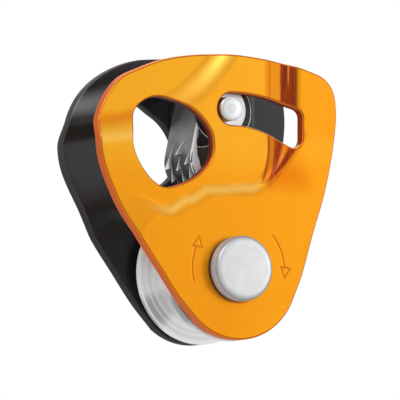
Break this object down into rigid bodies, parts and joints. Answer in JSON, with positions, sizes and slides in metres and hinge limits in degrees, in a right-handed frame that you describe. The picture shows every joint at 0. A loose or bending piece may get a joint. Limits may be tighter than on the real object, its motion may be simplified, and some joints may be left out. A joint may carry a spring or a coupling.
{
  "type": "rope pulley",
  "caption": "Small rope pulley with pressed side plates, a sheave on a sealed ball bearing and a sprung toothed cam that lets the rope run one way.",
  "frame": {"origin": "centre of the flat front face of the sheave axle's head", "axes": "+Y from the front plate to the rear plate along the sheave axle, +Z from the sheave up to the top edge, +X to the right seen from the front"},
  "size_m": [0.0571, 0.028, 0.0618],
  "materials": {
    "anodised_orange": "orange anodised, glossy",
    "anodised_black": "black anodised, satin",
    "turned_aluminium": "bright turned",
    "satin_steel": "satin, fine turned rings",
    "cast_steel": "cast and tumbled, bright edges",
    "bearing_steel": "ground and polished",
    "spring_steel": "drawn wire",
    "black_nylon": "moulded, matte",
    "seal_rubber": "matte"
  },
  "bodies": {
    "frame": {"rear_side_plate": "anodised_black", "sheave_axle": "satin_steel", "front_spacer": "satin_steel", "rear_spacer": "satin_steel", "bearing_inner_race": "bearing_steel", "cam_axle": "satin_steel", "cam_front_washer": "black_nylon", "cam_rear_washer": "black_nylon", "cam_stop_pin": "satin_steel", "cam_spring": "spring_steel"},
    "front_plate": {"front_side_plate": "anodised_orange"},
    "sheave": {"sheave": "turned_aluminium", "bearing_outer_race": "bearing_steel", "bearing_front_seal": "seal_rubber", "bearing_rear_seal": "seal_rubber"},
    "ball_set": {"bearing_ball_1": "bearing_steel", "bearing_ball_2": "bearing_steel", "bearing_ball_3": "bearing_steel", "bearing_ball_4": "bearing_steel", "bearing_ball_5": "bearing_steel", "bearing_ball_6": "bearing_steel", "bearing_ball_7": "bearing_steel", "bearing_ball_8": "bearing_steel", "bearing_ball_cage": "black_nylon"},
    "cam": {"cam": "cast_steel"}
  },
  "joints": [
    {"name": "sheave_spin", "type": "hinge", "parent": "frame", "child": "sheave", "pos_m": [0, 0.0146, 0], "axis": [0, 1, 0], "continuous": true},
    {"name": "bearing_cage_spin", "type": "hinge", "parent": "frame", "child": "ball_set", "pos_m": [0, 0.0146, 0], "axis": [0, 1, 0], "continuous": true},
    {"name": "cam_swing", "type": "hinge", "parent": "frame", "child": "cam", "pos_m": [-0.0013, 0.0146, 0.03455], "axis": [0, -1, 0], "range_deg": [0, 62], "stiffness_Nm_per_rad": 0.03, "springref_deg": -51.57, "deforming": ["cam_spring"]},
    {"name": "side_plate_swing", "type": "hinge", "parent": "frame", "child": "front_plate", "pos_m": [0, 0.00445, 0], "axis": [0, -1, 0], "range_deg": [0, 24]}
  ],
  "couplings": [
    {"joint": "bearing_cage_spin", "follows": "sheave_spin", "ratio": 0.6062}
  ]
}
